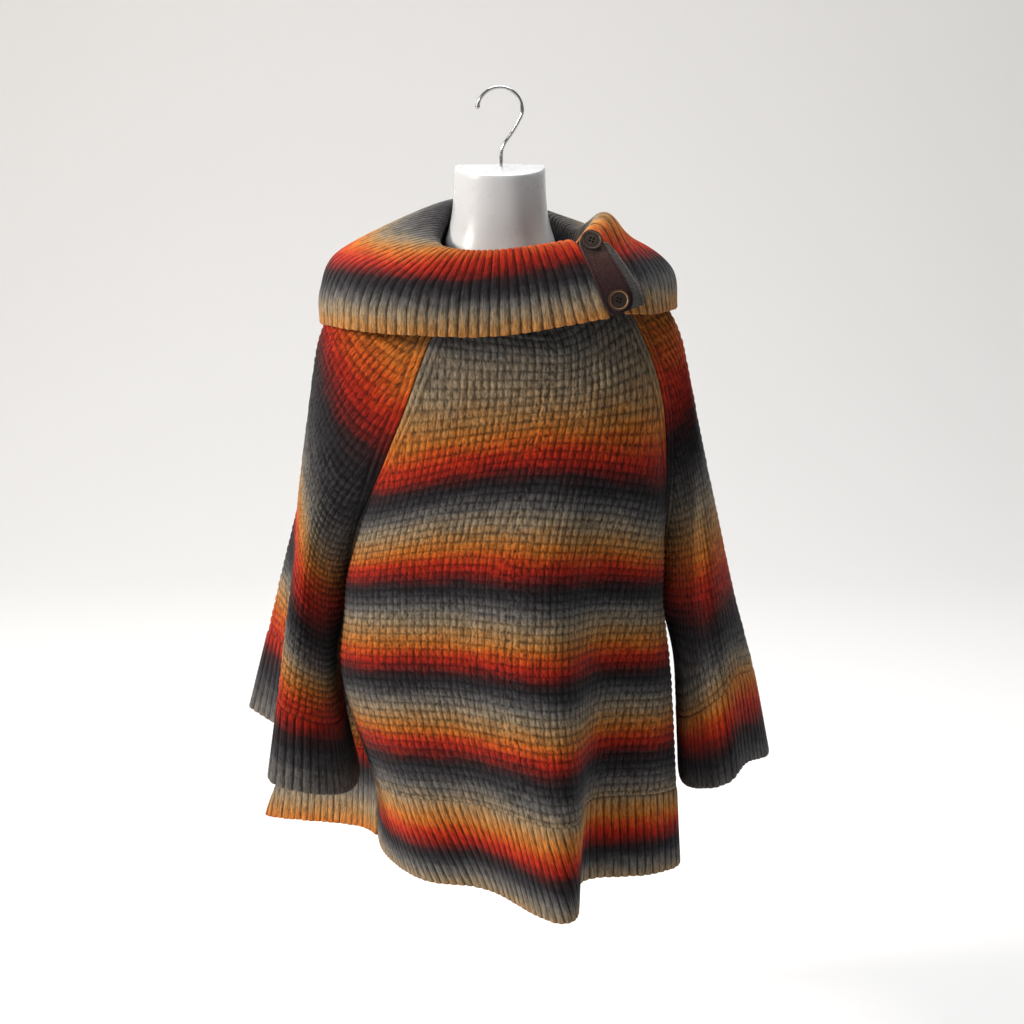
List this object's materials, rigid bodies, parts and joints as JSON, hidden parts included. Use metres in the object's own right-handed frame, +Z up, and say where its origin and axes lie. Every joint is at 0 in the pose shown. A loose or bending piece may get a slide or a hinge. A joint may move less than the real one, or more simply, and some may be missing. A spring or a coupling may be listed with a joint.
{
  "type": "knitted poncho sweater on a hanging dress form",
  "caption": "Wide knitted poncho sweater with cape sleeves and a deep buttoned roll collar, on a white half-round dress form that hangs by a wire hook.",
  "frame": {"origin": "inside top of the hook's bow, where a rail carries it", "axes": "+Z up, the garment faces -Y, +X to the wearer's left"},
  "size_m": [0.6319, 0.4474, 0.9396],
  "materials": {
    "knit": "chunky striped basket knit in wool, grey, tan, orange and red",
    "rib_knit": "wide ribs in the same striped wool",
    "strap_felt": "dark brown boiled wool",
    "tab_felt": "grey boiled wool",
    "buttons": "dark brown horn-look plastic",
    "form_plastic": "glossy white moulded plastic",
    "hook_wire": "bright chrome wire"
  },
  "bodies": {
    "root": {"front": "knit", "back": "knit", "sleeve_right": "knit", "sleeve_left": "knit", "hem_rib_front": "rib_knit", "hem_rib_back": "rib_knit", "cuff_right": "rib_knit", "cuff_left": "rib_knit", "collar": "rib_knit", "strap": "strap_felt", "under_tab": "tab_felt", "button_top": "buttons", "button_low": "buttons", "form": "form_plastic", "hook": "hook_wire"}
  },
  "joints": []
}
